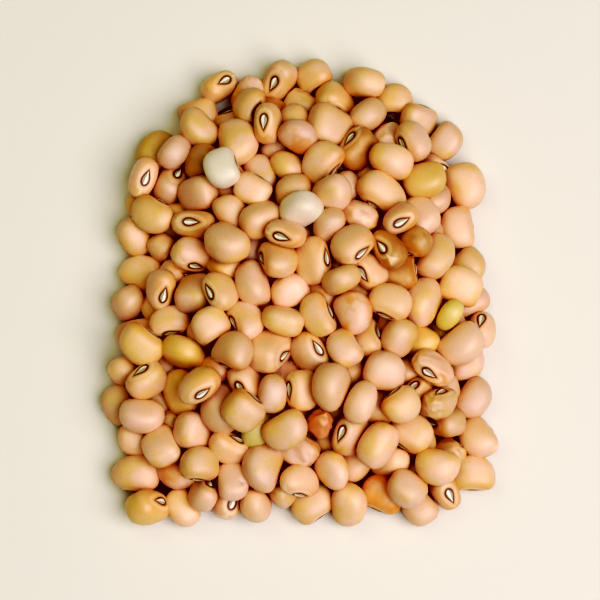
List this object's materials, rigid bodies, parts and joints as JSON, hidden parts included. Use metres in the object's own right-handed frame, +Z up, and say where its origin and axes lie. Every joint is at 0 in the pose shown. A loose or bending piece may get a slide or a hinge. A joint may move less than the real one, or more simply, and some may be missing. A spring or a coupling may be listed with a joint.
{
  "type": "heap of dried cowpeas",
  "caption": "Low loose heap of small tan kidney-shaped dried beans with pale hilums, round at one end and square at the other, lying on a flat underside.",
  "frame": {"origin": "the middle of the heap's flat underside", "axes": "+Z up out of the heap, the shortest way; +Y towards its round end, the longest way; +X across it"},
  "size_m": [0.0781, 0.0946, 0.0197],
  "materials": {
    "dried_bean": "smooth satin tan seed coat, pinker or browner from bean to bean, with a cream hilum in a dark rim"
  },
  "bodies": {
    "root": {"bean_heap": "dried_bean"}
  },
  "joints": []
}
